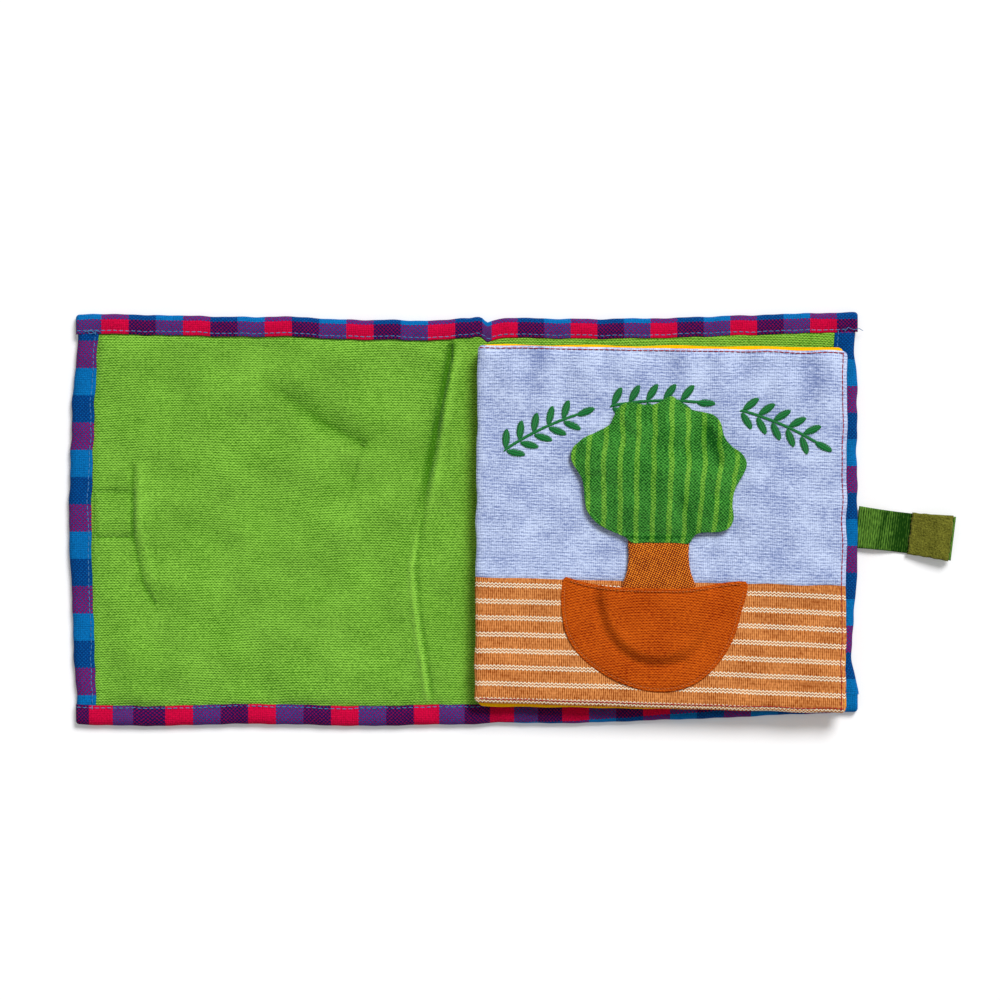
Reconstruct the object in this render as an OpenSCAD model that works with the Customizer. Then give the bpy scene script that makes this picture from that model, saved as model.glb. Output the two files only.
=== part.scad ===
// Cloth book for a small child, lying open with its front cover turned to the left.
// Two padded covers and a narrow spine panel share one checked cloth outside, whose
// edges are turned in over the green lining all round and stitched down.
// Four quilted leaves are sewn in at the right fold; the top leaf is the first page.
// A stuffed cloth tree stands in a half-round pocket on that page.
// X runs to the right, Y up the page and Z up. The origin is on the underside,
// on the fold between the spine panel and the back cover, at half height.

/* [Covers] */
// Width of the back cover from its fold to its outer edge
back_w = 192; // [170:1:215]
// Width of the front cover from its fold to its outer edge
front_w = 182; // [165:1:205]
// Height of the book at the spine
spine_h = 203; // [196:1:225]
// How much higher the front cover's outer top corner stands than the spine
front_top_rise = 1.7; // [0:0.1:4]
// How much lower the front cover's outer bottom corner lies than the spine
front_bottom_drop = 0.5; // [0:0.1:3]
// How much higher the back cover's outer top corner stands than the spine
back_top_rise = 3.5; // [0:0.1:5]
// How much higher the back cover's outer bottom corner lies than the spine
back_bottom_rise = 6; // [0:0.1:8]
// How far the front cover's outer edge bows out between its corners
front_bow = 3.6; // [0:0.1:6]
// Thickness of the checked outer cloth
outer_t = 0.5; // [0.4:0.1:1]
// Thickness of the wadding in the covers
wadding_t = 3; // [1.5:0.1:5]
// Thickness of the green lining cloth
lining_t = 0.5; // [0.4:0.1:1]

/* [Spine] */
// Free depth left above the tree when the front cover is closed over it
closed_gap = 0.5; // [0.4:0.1:6]

/* [Turned-in edges] */
// Width of the outer cloth turned in along the top and bottom edges
hem_w = 10; // [7:0.5:14]
// Width of the outer cloth turned in along the outer sides
side_hem_w = 11.5; // [8:0.5:15]

/* [Leaves] */
// Width of a leaf from the spine to its free edge
leaf_w = 184; // [165:1:200]
// Height of a leaf
leaf_h = 178; // [160:1:190]
// Thickness of one quilted leaf
leaf_t = 2.6; // [1.8:0.1:3]
// How far a leaf thins at its sewn edge on each side
leaf_edge_thin = 0.7; // [0.2:0.1:1.2]
// Width of the thinned edge of a leaf
leaf_edge_w = 4; // [2:0.5:8]
// Radius of the leaf corners
leaf_corner_r = 4; // [2:0.5:10]
// How far the top leaf's free edge has slipped down
top_leaf_drop = 4.4; // [0:0.1:6]
// How far the lower leaves' free edge has slipped down
lower_leaf_drop = 0.9; // [0:0.1:6]
// Height of the leaves' middle above the middle of the spine
leaf_raise = -1.3; // [-4:0.1:4]
// How far the lower leaves stand above the top leaf's top edge
lower_leaf_raise = 1.4; // [0:0.1:4]
// Thickness of the sky and ground cloths on the top leaf
face_t = 0.5; // [0.3:0.1:1]
// Height of the seam between sky and ground above the spine's middle
seam_y = -28; // [-50:1:-10]
// How far the seam falls towards the free edge
seam_drop = 5; // [0:0.5:10]

/* [Tree] */
// Distance of the tree's middle line from the spine fold
tree_x = 91; // [80:1:105]
// Height of the crown's middle above the spine's middle
crown_y = 26.5; // [15:0.5:35]
// Width of the crown
crown_w = 87.5; // [70:0.5:100]
// Thickness of the stuffed crown
crown_t = 7.8; // [4:0.1:8.2]
// Width of the trunk where it joins the crown
trunk_w = 30; // [20:1:40]
// Width of the trunk's foot inside the pocket
trunk_foot_w = 43; // [32:1:60]
// Thickness of the stuffed trunk
trunk_t = 2.6; // [1.5:0.1:4]
// Depth of the trunk's foot below the pocket's mouth
trunk_depth = 36; // [15:1:45]

/* [Pocket] */
// Width of the half-round pocket at its mouth
pocket_w = 93.5; // [80:0.5:110]
// Depth of the pocket from its mouth to its lowest point
pocket_depth = 54; // [48:0.5:56]
// Thickness of the pocket cloth
pocket_t = 0.7; // [0.4:0.1:1.2]
// Free space around the trunk inside the pocket
pocket_clear = 0.3; // [0.2:0.1:1]

/* [Embroidery] */
// Radius of the arc on which the embroidered sprigs lie
sprig_r = 144; // [130:1:170]
// Length of one embroidered leaf
sprig_leaf_l = 9; // [5:0.5:10]
// Width of one embroidered leaf
sprig_leaf_w = 4; // [2:0.5:5]
// Width of the embroidered stem
sprig_stem_w = 1.6; // [1:0.1:3]
// Height of the raised stitching
sprig_t = 0.4; // [0.2:0.1:0.6]

/* [Closing strap] */
// Width of the strap ribbon
strap_w = 20; // [15:0.5:26]
// Thickness of the strap ribbon
strap_t = 1.2; // [0.8:0.1:1.6]
// Length of the strap beyond the cover's edge
strap_l = 48; // [44:1:60]
// Angle by which the strap hangs down from square
strap_turn = 7; // [0:0.5:12]
// Thickness of the fuzzy loop patch
patch_t = 1.6; // [0.8:0.1:2.5]
// Length of the fuzzy loop patch
patch_l = 21; // [16:0.5:25]
// Length and width of the hook patch on the front cover
hook_patch = 20; // [16:0.5:24]
// Thickness of the hook patch, pressed into the padded cover
hook_t = 0.4; // [0.2:0.1:0.4]

/* [Hidden] */

checked = [0.20, 0.14, 0.42];
green_cotton = [0.42, 0.67, 0.19];
white_wadding = [0.93, 0.92, 0.88];
slit = 0.1;
lay = 0.3;
edge_steps = 16;

// Heights of the layers, from the table up
wadding_z = outer_t;
lining_z = wadding_z + wadding_t;
hem_z = lining_z + lining_t;
cover_t = hem_z + outer_t;
block_z = cover_t + lay;
leaf_count = 4;
block_top = block_z + leaf_count * leaf_t;
face_z = block_top;
page_z = face_z + face_t;
sprig_z = page_z;
crown_z = sprig_z + sprig_t + slit;
// The spine panel is as wide as what the closed book holds between its covers
spine_w = crown_z + crown_t + closed_gap - cover_t;
spine_half = spine_h / 2;
front_x = -spine_w - front_w;

// The front cover's outer edge at height y
function front_edge_x(y) = front_x + front_bow * pow(y / spine_half, 2);
// The covers' top and bottom edge lines at distance x from the back fold
function top_y(x) = x < -spine_w
  ? spine_half + front_top_rise * (-spine_w - x) / front_w
  : spine_half + back_top_rise * max(x, 0) / back_w;
function bottom_y(x) = x < -spine_w
  ? -spine_half - front_bottom_drop * (-spine_w - x) / front_w
  : -spine_half + back_bottom_rise * max(x, 0) / back_w;

// Outline of the front cover, set in by e along its top and bottom edges and by
// side along its outer edge, and carried on past the fold by over
module front_shape(e, side, over) {
  y1 = top_y(front_x) - e;
  y0 = bottom_y(front_x) + e;
  low = -spine_half + e;
  high = spine_half - e;
  polygon(concat(
    [[-spine_w + over, low], [-spine_w, low]],
    [for (i = [0 : edge_steps])
      let (y = y0 + (y1 - y0) * i / edge_steps)
      [front_edge_x(y) + side, y]],
    [[-spine_w, high], [-spine_w + over, high]]));
}

// Outline of the spine panel, set in by e along its top and bottom edges
module spine_shape(e, over) {
  translate([-spine_w - over, -spine_half + e])
    square([spine_w + 2 * over, spine_h - 2 * e]);
}

// Outline of the back cover, set in and carried on as the front cover's
module back_shape(e, side, over) {
  x1 = back_w - side;
  low = -spine_half + e;
  high = spine_half - e;
  polygon([
    [-over, low], [0, low],
    [x1, bottom_y(x1) + e], [x1, top_y(x1) - e],
    [0, high], [-over, high]]);
}

// Outer cloth as a shallow tray: the sheet outside, its edge, and the turned-in hem.
// The three outlines are the cloth's own, the padding's and the hem's inner edge
module turned_cloth() {
  linear_extrude(outer_t) children(0);
  linear_extrude(cover_t) difference() {
    children(0);
    children(1);
  }
  translate([0, 0, hem_z]) linear_extrude(outer_t) difference() {
    children(0);
    children(2);
  }
}

over = 1;

module front_cover_outer() {
  color(checked) difference() {
    turned_cloth() {
      front_shape(0, 0, 0);
      front_shape(outer_t, outer_t, over);
      front_shape(hem_w, side_hem_w, over);
    }
    hook_place() cube([hook_patch, hook_patch, 2 * hook_t], center = true);
  }
}

module front_cover_wadding() {
  color(white_wadding) translate([0, 0, wadding_z])
    linear_extrude(wadding_t) front_shape(outer_t, outer_t, 0);
}

module front_cover_lining() {
  color(green_cotton) translate([0, 0, lining_z])
    linear_extrude(lining_t) front_shape(outer_t, outer_t, 0);
}

// The hook patch lies outside the front cover, where the strap reaches it
strap_y = -3;
hook_y = strap_y + 7;
module hook_place() {
  translate([front_x + side_hem_w + hook_patch / 2, hook_y, 0]) children();
}

module front_hook_patch() {
  color([0.25, 0.25, 0.12]) hook_place()
    translate([-hook_patch / 2, -hook_patch / 2, 0])
      cube([hook_patch, hook_patch, hook_t]);
}

module spine_outer() {
  color(checked) turned_cloth() {
    spine_shape(0, 0);
    spine_shape(outer_t, over);
    spine_shape(hem_w, over);
  }
}

module spine_wadding() {
  color(white_wadding) translate([0, 0, wadding_z])
    linear_extrude(wadding_t) spine_shape(outer_t, 0);
}

module spine_lining() {
  color(green_cotton) translate([0, 0, lining_z])
    linear_extrude(lining_t) spine_shape(outer_t, 0);
}

module back_cover_outer() {
  color(checked) turned_cloth() {
    back_shape(0, 0, 0);
    back_shape(outer_t, outer_t, over);
    back_shape(hem_w, side_hem_w, over);
  }
}

module back_cover_wadding() {
  color(white_wadding) translate([0, 0, wadding_z])
    linear_extrude(wadding_t) back_shape(outer_t, outer_t, 0);
}

module back_cover_lining() {
  color(green_cotton) translate([0, 0, lining_z])
    linear_extrude(lining_t) back_shape(outer_t, outer_t, 0);
}

// Side profile of the strap: share of its length, and height of its underside above
// the table as a share of its height where it leaves the cover
strap_line = [[-0.06, 1], [0, 1], [0.1, 1.5], [0.2, 1.55], [0.32, 0.9], [0.42, 0.2],
  [0.5, 0.03], [0.56, 0.35], [0.7, 1.3], [0.85, 2.0], [1, 2.2]];
strap_root_z = (cover_t - strap_t) / 2;
patch_inset = 0.5;
patch_from = 1 - (patch_l + patch_inset) / strap_l;

function strap_height(s) = lookup(s, strap_line) * strap_root_z;

// Ribbon between two shares of the strap's length, from one height above its underside
// to another, standing on its own edge and then laid down
module ribbon(from, to, low, high, w) {
  stops = concat([from], [for (p = strap_line) if (p[0] > from && p[0] < to) p[0]], [to]);
  last = len(stops) - 1;
  translate([back_w, strap_y, 0]) rotate([0, 0, -strap_turn])
    translate([0, w / 2, 0]) rotate([90, 0, 0])
      linear_extrude(w)
        polygon(concat(
          [for (s = stops) [s * strap_l, strap_height(s) + low]],
          [for (i = [last : -1 : 0]) [stops[i] * strap_l, strap_height(stops[i]) + high]]));
}

module closing_strap() {
  color([0.27, 0.46, 0.13]) difference() {
    ribbon(-0.06, 1, 0, strap_t, strap_w);
    translate([back_w - 20, strap_y - strap_w, -1]) cube([20, 2 * strap_w, cover_t + 5]);
  }
}

module strap_loop_patch() {
  color([0.38, 0.40, 0.12])
    ribbon(patch_from, 1 - patch_inset / strap_l, strap_t, strap_t + patch_t, strap_w);
}

// Slipped leaf outline: its free edge hangs lower than its sewn edge
module leaf_shape(drop, raise, z0, z1, e) {
  x0 = lay + leaf_corner_r + e;
  x1 = lay + leaf_w - leaf_corner_r - e;
  half = leaf_h / 2 - leaf_corner_r - e;
  for (p = [[x0, 0], [x1, -drop]])
    for (s = [-1, 1])
      translate([p[0], p[1] + leaf_raise + raise + s * half, z0])
        cylinder(r = leaf_corner_r, h = z1 - z0, $fn = 32);
}

// One quilted leaf: full thickness inside, thin along its sewn edges
module leaf(drop, raise, z) {
  hull() {
    leaf_shape(drop, raise, z, z + leaf_t, leaf_edge_w);
    leaf_shape(drop, raise, z + leaf_edge_thin, z + leaf_t - leaf_edge_thin, 0);
  }
}

module page_block() {
  color([1.0, 0.72, 0.02]) union() {
    for (i = [0 : leaf_count - 2])
      leaf(lower_leaf_drop, lower_leaf_raise, block_z + i * leaf_t);
    leaf(top_leaf_drop, 0, block_z + (leaf_count - 1) * leaf_t);
  }
}

// Face of the top leaf, inside its thinned edge
module face_outline() {
  e = leaf_edge_w;
  r = leaf_corner_r;
  x0 = lay + e;
  x1 = lay + leaf_w - e;
  y = leaf_h / 2 - e;
  polygon([
    [x0, leaf_raise - y + r], [x0 + r, leaf_raise - y],
    [x1 - r, leaf_raise - y - top_leaf_drop], [x1, leaf_raise - y - top_leaf_drop + r],
    [x1, leaf_raise + y - top_leaf_drop - r], [x1 - r, leaf_raise + y - top_leaf_drop],
    [x0 + r, leaf_raise + y], [x0, leaf_raise + y - r]]);
}

// Everything below the seam between sky and ground
module below_seam() {
  polygon([
    [-10, seam_y], [leaf_w + 10, seam_y - seam_drop],
    [leaf_w + 10, -spine_h], [-10, -spine_h]]);
}

module sky_cloth() {
  color([0.68, 0.74, 0.87]) translate([0, 0, face_z])
    linear_extrude(face_t) difference() {
      face_outline();
      below_seam();
    }
}

module ground_cloth() {
  color([0.81, 0.54, 0.33]) translate([0, 0, face_z])
    linear_extrude(face_t) intersection() {
      face_outline();
      below_seam();
    }
}

// Half-round pocket: mouth line and rounded sides, grown or shrunk by e
mouth_y = seam_y - 3.5;
pocket_steps = 24;
pocket_hollow = trunk_t + 2 * pocket_clear;

function half_round(e, lift) = [for (i = [0 : pocket_steps])
  let (a = 180 + 180 * i / pocket_steps)
  [tree_x + (pocket_w / 2 - e) * cos(a), mouth_y + lift + (pocket_depth - e) * sin(a)]];

module pot_pocket() {
  rim = 2.5;
  color([0.72, 0.27, 0.04]) translate([0, 0, page_z]) difference() {
    linear_extrude(pocket_hollow + pocket_t) polygon(half_round(0, 0));
    translate([0, 0, -slit]) linear_extrude(pocket_hollow + slit)
      polygon(half_round(rim, 1));
  }
}

// Crown outline, as shares of the crown's width from its middle: a scalloped round
crown_points = [
  [0.09, 0.40], [0.13, 0.36], [0.19, 0.31], [0.26, 0.31], [0.34, 0.30], [0.37, 0.26],
  [0.39, 0.17], [0.43, 0.11], [0.50, 0.05], [0.51, -0.01], [0.46, -0.11], [0.43, -0.18],
  [0.44, -0.27], [0.42, -0.35], [0.34, -0.38], [0.21, -0.41], [-0.16, -0.41], [-0.23, -0.38],
  [-0.30, -0.34], [-0.38, -0.27], [-0.40, -0.19], [-0.41, -0.05], [-0.49, 0.07],
  [-0.37, 0.18], [-0.27, 0.24], [-0.25, 0.30], [-0.17, 0.36], [-0.06, 0.36], [0.02, 0.36]];
crown_low = 0.41;
// Rings of the stuffed form: how far each is drawn in, and its share of the thickness
crown_rings = [[0.14, 0], [0.03, 0.1], [0, 0.28], [0.03, 0.5], [0.1, 0.7], [0.22, 0.86],
  [0.42, 0.96], [0.7, 1]];

module tree_crown() {
  n = len(crown_points);
  m = len(crown_rings);
  points = concat(
    [for (ring = crown_rings, p = crown_points)
      [tree_x + crown_w * p[0] * (1 - ring[0]), crown_y + crown_w * p[1] * (1 - ring[0]),
        crown_z + crown_t * ring[1]]],
    [[tree_x, crown_y, crown_z], [tree_x, crown_y, crown_z + crown_t]]);
  sides = [for (k = [0 : m - 2], i = [0 : n - 1], half = [0, 1])
    let (a = k * n + i, b = k * n + (i + 1) % n)
    half == 0 ? [a, a + n, b + n] : [a, b + n, b]];
  bottom = [for (i = [0 : n - 1]) [m * n, i, (i + 1) % n]];
  top = [for (i = [0 : n - 1]) [m * n + 1, (m - 1) * n + (i + 1) % n, (m - 1) * n + i]];
  color([0.20, 0.50, 0.15])
    polyhedron(points = points, faces = concat(sides, bottom, top));
}

// The trunk narrows a little below the crown, flares at the pocket's mouth and ends
// in a round foot inside it
trunk_waist = 1;
trunk_flare = 3;
trunk_waist_share = 0.33;
trunk_foot_round = 0.9;
module tree_trunk() {
  join_y = crown_y - crown_low * crown_w - lay;
  foot_y = mouth_y - trunk_depth;
  half_top = trunk_w / 2;
  half_foot = trunk_foot_w / 2;
  foot_r = half_foot * trunk_foot_round;
  waist_y = join_y - trunk_w * trunk_waist_share;
  shoulder_y = mouth_y - trunk_w * trunk_waist_share;
  color([0.68, 0.34, 0.11]) translate([0, 0, page_z + pocket_clear])
    linear_extrude(trunk_t) polygon(concat(
      [[tree_x - half_top, join_y], [tree_x - half_top + trunk_waist, waist_y],
        [tree_x - half_top - trunk_flare, mouth_y], [tree_x - half_foot, shoulder_y]],
      [for (a = [200 : 20 : 340])
        [tree_x + half_foot * cos(a), foot_y + foot_r * (1 + sin(a))]],
      [[tree_x + half_foot, shoulder_y], [tree_x + half_top + trunk_flare, mouth_y],
        [tree_x + half_top - trunk_waist, waist_y], [tree_x + half_top, join_y]]));
}

// One embroidered leaf, pointed at both ends, lying along X from the origin
module sprig_leaf() {
  r = (pow(sprig_leaf_l / 2, 2) + pow(sprig_leaf_w / 2, 2)) / sprig_leaf_w;
  translate([sprig_leaf_l / 2, 0]) intersection() {
    translate([0, r - sprig_leaf_w / 2]) circle(r = r, $fn = 64);
    translate([0, sprig_leaf_w / 2 - r]) circle(r = r, $fn = 64);
  }
}

// One sprig along the arc between two angles from upright, with leaves in pairs
sprig_x = 96;
sprig_y = -84;
sprig_pair_step = 3.2;
sprig_leaf_turn = 48;
sprig_gap = 0.2;
sprig_leaf_start = (sprig_stem_w / 2 + sprig_gap) / sin(sprig_leaf_turn);
module sprig(a0, a1) {
  steps = round((a1 - a0) / sprig_pair_step);
  step = (a1 - a0) / steps;
  translate([sprig_x, sprig_y]) {
    polygon(concat(
      [for (i = [0 : steps]) let (a = a0 + i * step)
        (sprig_r + sprig_stem_w / 2) * [sin(a), cos(a)]],
      [for (i = [steps : -1 : 0]) let (a = a0 + i * step)
        (sprig_r - sprig_stem_w / 2) * [sin(a), cos(a)]]));
    for (i = [0 : steps - 1])
      let (a = a0 + i * step)
        translate(sprig_r * [sin(a), cos(a)])
          for (s = [-1, 1])
            rotate(-a + s * sprig_leaf_turn) translate([sprig_leaf_start, 0]) sprig_leaf();
    translate(sprig_r * [sin(a1), cos(a1)]) rotate(-a1) translate([sprig_gap, 0]) sprig_leaf();
  }
}

module embroidered_sprigs() {
  color([0.05, 0.42, 0.20]) translate([0, 0, sprig_z])
    linear_extrude(sprig_t) {
      sprig(-34, -18);
      sprig(-11, 6);
      sprig(15, 31);
    }
}

front_cover_outer();
front_cover_wadding();
front_cover_lining();
front_hook_patch();
spine_outer();
spine_wadding();
spine_lining();
back_cover_outer();
back_cover_wadding();
back_cover_lining();
closing_strap();
strap_loop_patch();
page_block();
sky_cloth();
ground_cloth();
pot_pocket();
tree_crown();
tree_trunk();
embroidered_sprigs();
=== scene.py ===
# Looks of the open cloth book: each piece of cloth, wadding and thread is laid out in
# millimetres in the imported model's frame, and becomes metres as its mesh is made.

import math

import bmesh
import bpy
import numpy as np
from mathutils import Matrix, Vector


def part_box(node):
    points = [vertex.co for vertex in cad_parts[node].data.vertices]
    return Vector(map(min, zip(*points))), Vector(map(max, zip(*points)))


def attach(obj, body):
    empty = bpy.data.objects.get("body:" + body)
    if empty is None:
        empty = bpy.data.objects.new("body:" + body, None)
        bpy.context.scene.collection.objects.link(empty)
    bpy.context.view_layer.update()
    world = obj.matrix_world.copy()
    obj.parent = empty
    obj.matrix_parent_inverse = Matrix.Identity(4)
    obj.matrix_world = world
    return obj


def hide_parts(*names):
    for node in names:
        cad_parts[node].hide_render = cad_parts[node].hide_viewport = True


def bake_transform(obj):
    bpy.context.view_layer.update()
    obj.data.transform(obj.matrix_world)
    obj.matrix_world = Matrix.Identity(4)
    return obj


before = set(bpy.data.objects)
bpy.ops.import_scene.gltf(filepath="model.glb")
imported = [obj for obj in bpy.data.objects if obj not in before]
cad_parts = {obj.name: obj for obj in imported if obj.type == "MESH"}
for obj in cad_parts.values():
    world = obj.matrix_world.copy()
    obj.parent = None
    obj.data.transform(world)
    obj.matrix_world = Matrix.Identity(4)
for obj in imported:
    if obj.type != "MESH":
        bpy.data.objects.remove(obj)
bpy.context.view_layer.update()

# Studio: a white table top, one lamp at the upper right whose soft shadow falls to the
# lower left, a pale sky as fill, and the camera straight above as in the photograph.
MM = 0.001
view_width = 500
view_middle = (13.25, 10.5)
camera_height = 3000
sensor_width = 36
lamp_lean = 43
lamp_turn = 60
lamp_spread = 24
lamp_strength = 3.0
sky_strength = 0.36
table_size = 6000
table_lift = 0.13

scene = bpy.context.scene
scene.view_settings.view_transform = "Standard"

camera_data = bpy.data.cameras.new("camera")
camera_data.sensor_width = sensor_width
camera_data.lens = sensor_width * camera_height / view_width
camera_data.clip_end = 100
camera = bpy.data.objects.new("camera", camera_data)
camera.location = (view_middle[0] * MM, view_middle[1] * MM, camera_height * MM)
scene.collection.objects.link(camera)
scene.camera = camera

lamp_data = bpy.data.lights.new("lamp", "SUN")
lamp_data.energy = lamp_strength
lamp_data.angle = math.radians(lamp_spread)
lamp = bpy.data.objects.new("lamp", lamp_data)
lean, turn = math.radians(lamp_lean), math.radians(lamp_turn)
towards_lamp = Vector((math.sin(lean) * math.cos(turn), math.sin(lean) * math.sin(turn), math.cos(lean)))
lamp.rotation_euler = towards_lamp.to_track_quat("Z", "Y").to_euler()
scene.collection.objects.link(lamp)


class Wire:
    """A shader socket that adds a Math node when it meets an operator."""

    def __init__(self, paint, socket):
        self.paint = paint
        self.socket = socket

    def math(self, operation, *others):
        sockets = dict(enumerate([self, *others]))
        return self.paint.node("ShaderNodeMath", {"operation": operation}, sockets)

    def tap(self, output):
        return Wire(self.paint, self.socket.node.outputs[output])

    def sine(self, pitch):
        """A sine along the wire, one wave each pitch."""
        return (self * (2 * math.pi / pitch)).math("SINE")

    def clamped(self):
        """The wire held between 0 and 1."""
        return self.math("MAXIMUM", 0.0).math("MINIMUM", 1.0)

    def __add__(self, other):
        return self.math("ADD", other)

    def __mul__(self, other):
        return self.math("MULTIPLY", other)

    def __sub__(self, other):
        return self.math("SUBTRACT", other)

    def __rsub__(self, other):
        return self * -1 + other

    def __truediv__(self, other):
        return self.math("DIVIDE", other)

    def __gt__(self, other):
        return self.math("GREATER_THAN", other)


class Graph:
    """A node tree in the making."""

    def __init__(self, tree):
        self.tree = tree
        tree.nodes.clear()

    def node(self, kind, settings=None, sockets=None, out=0):
        """A node of that kind with its settings and its sockets' values or wires."""
        made = self.tree.nodes.new(kind)
        for name, value in (settings or {}).items():
            setattr(made, name, value)
        for key, value in (sockets or {}).items():
            if isinstance(value, Wire):
                self.tree.links.new(value.socket, made.inputs[key])
            else:
                made.inputs[key].default_value = value
        return Wire(self, made.outputs[out]) if made.outputs else None


class Paint(Graph):
    """A material's node tree, which ends in one principled surface."""

    def __init__(self, name, roughness=0.95, sheen=0.0):
        self.material = bpy.data.materials.new(name)
        self.material.use_nodes = True
        super().__init__(self.material.node_tree)
        self.surface = self.tree.nodes.new("ShaderNodeBsdfPrincipled")
        self.surface.inputs["Roughness"].default_value = roughness
        self.surface.inputs["Sheen Weight"].default_value = sheen
        self.surface.inputs["Specular IOR Level"].default_value = 0.06
        output = self.tree.nodes.new("ShaderNodeOutputMaterial")
        self.tree.links.new(self.surface.outputs[0], output.inputs["Surface"])

    def feed(self, socket, wire):
        """Leads a wire to a socket of the surface."""
        self.tree.links.new(wire.socket, self.surface.inputs[socket])


table_paint = Paint("table_white", roughness=0.6, sheen=0)
table_paint.surface.inputs["Base Color"].default_value = (0.86, 0.86, 0.87, 1)
table_paint.surface.inputs["Emission Color"].default_value = (1, 1, 1, 1)
to_camera = table_paint.node("ShaderNodeLightPath", out="Is Camera Ray")
table_paint.feed("Emission Strength", to_camera * table_lift)
table_mesh = bpy.data.meshes.new("table")
reach = table_size / 2 * MM
table_mesh.from_pydata(
    [(-reach, -reach, 0), (reach, -reach, 0), (reach, reach, 0), (-reach, reach, 0)], [], [(0, 1, 2, 3)]
)
table_mesh.materials.append(table_paint.material)
table = bpy.data.objects.new("table", table_mesh)
scene.collection.objects.link(table)

world = bpy.data.worlds.new("studio")
world.use_nodes = True
scene.world = world
sky_light = world.node_tree.nodes["Background"]
sky_light.inputs["Color"].default_value = (1, 1, 1, 1)
ray = world.node_tree.nodes.new("ShaderNodeLightPath")
seen = world.node_tree.nodes.new("ShaderNodeMapRange")
seen.inputs["To Min"].default_value = sky_strength
seen.inputs["To Max"].default_value = 1
world.node_tree.links.new(ray.outputs["Is Camera Ray"], seen.inputs["Value"])
world.node_tree.links.new(seen.outputs["Result"], sky_light.inputs["Strength"])

# Outer cloth: one plain-woven check of blue, red and navy, cut here at the middle of the
# spine into two halves. Its edges are turned in over the lining, the
# top and bottom ones over the ends of the side ones, and form soft rolls.
front_x = -202
back_x = 192
spine_w = 20
split_x = -spine_w / 2
square = 13.5
thread = 0.92
hem_w = 10
side_w = 11
ripple_h = 0.22
left_edge_x = front_x + 3.4
top_line = [(-202, 103.2), (-185, 103.4), (-142, 102.6), (-115, 102.1), (-87, 102), (-59, 100.4),
            (-45, 100.5), (-17, 100.2), (-3, 101.2), (5, 100.9), (6.5, 99.4), (9, 100.1), (39, 101),
            (67, 101), (95, 101.5), (123, 102.4), (151, 103.4), (179, 104.1), (193, 104.6)]
bottom_line = [(-202, -101.6), (-185, -102), (-142, -102), (-115, -101.5), (-87, -101.6), (-59, -102.4),
               (-17, -101.5), (8, -101.2), (12.5, -100.6), (17, -100.8), (67, -100.3), (95, -99.4),
               (123, -98.4), (151, -97), (179, -95.8), (193, -95)]
front_line = [(-101.6, -198.6), (-88, -198.2), (-73, -199.3), (-42, -200.4), (-9, -202), (14, -201.8),
              (39, -201.1), (70, -199.6), (87, -197.6), (103, -198.6)]
front_inner = [(-92, -188.4), (-60, -189.2), (-20, -190.6), (20, -190.3), (60, -189), (94, -187.2)]
back_line = [(-95, 192.9), (-90, 192.6), (-81, 191.6), (-73, 189.6), (-50, 189.9), (-26, 191.6), (0, 192),
             (38, 191.4), (70, 191.7), (87, 190.4), (104.6, 190.9)]


def through(at, knots):
    """A smooth curve through the knots."""
    xs, ys = np.array(knots, float).T
    slopes = np.gradient(ys, xs)
    i = np.clip(np.searchsorted(xs, at) - 1, 0, len(xs) - 2)
    step = xs[i + 1] - xs[i]
    t = np.clip((at - xs[i]) / step, 0, 1)
    rise = t * t * (3 - 2 * t)
    leave = (t * (1 - t) ** 2) * step * slopes[i]
    arrive = (t * t * (t - 1)) * step * slopes[i + 1]
    return ys[i] + (ys[i + 1] - ys[i]) * rise + leave + arrive


def waves(x, y, seed, size):
    """Soft waves of about that size in mm and height 1, the same in each run."""
    pick = np.random.default_rng(seed)
    total = 0
    for turn in pick.uniform(0, math.pi, 6):
        pace = 2 * math.pi / size * pick.uniform(0.6, 1.5)
        total = total + np.sin(pace * (x * math.cos(turn) + y * math.sin(turn)) + pick.uniform(0, 6.3))
    return total / 2.5


def rippled(at, line, seed, size):
    """A cloth's edge line with its small ripples."""
    return through(at, line) + ripple_h * waves(at, 0 * at, seed, size)


def run_along(line):
    """Lengths along a line from its first point to each of its points."""
    return np.concatenate([[0], np.cumsum(np.hypot(*np.diff(line, axis=0).T))])


def edge_round(inset, width):
    """From 0 at a soft edge to 1 further in than the width."""
    return np.sqrt(1 - (1 - np.clip(inset / width, 0, 1)) ** 2)


def spread(first, last, step, ease=0.3):
    """Shares from 0 to 1 for a row of points about a step apart, closer near its ends."""
    t = np.linspace(0, 1, max(3, int(abs(last - first) / step)))
    return (1 - ease) * t + ease * (0.5 - 0.5 * np.cos(math.pi * t))


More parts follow.
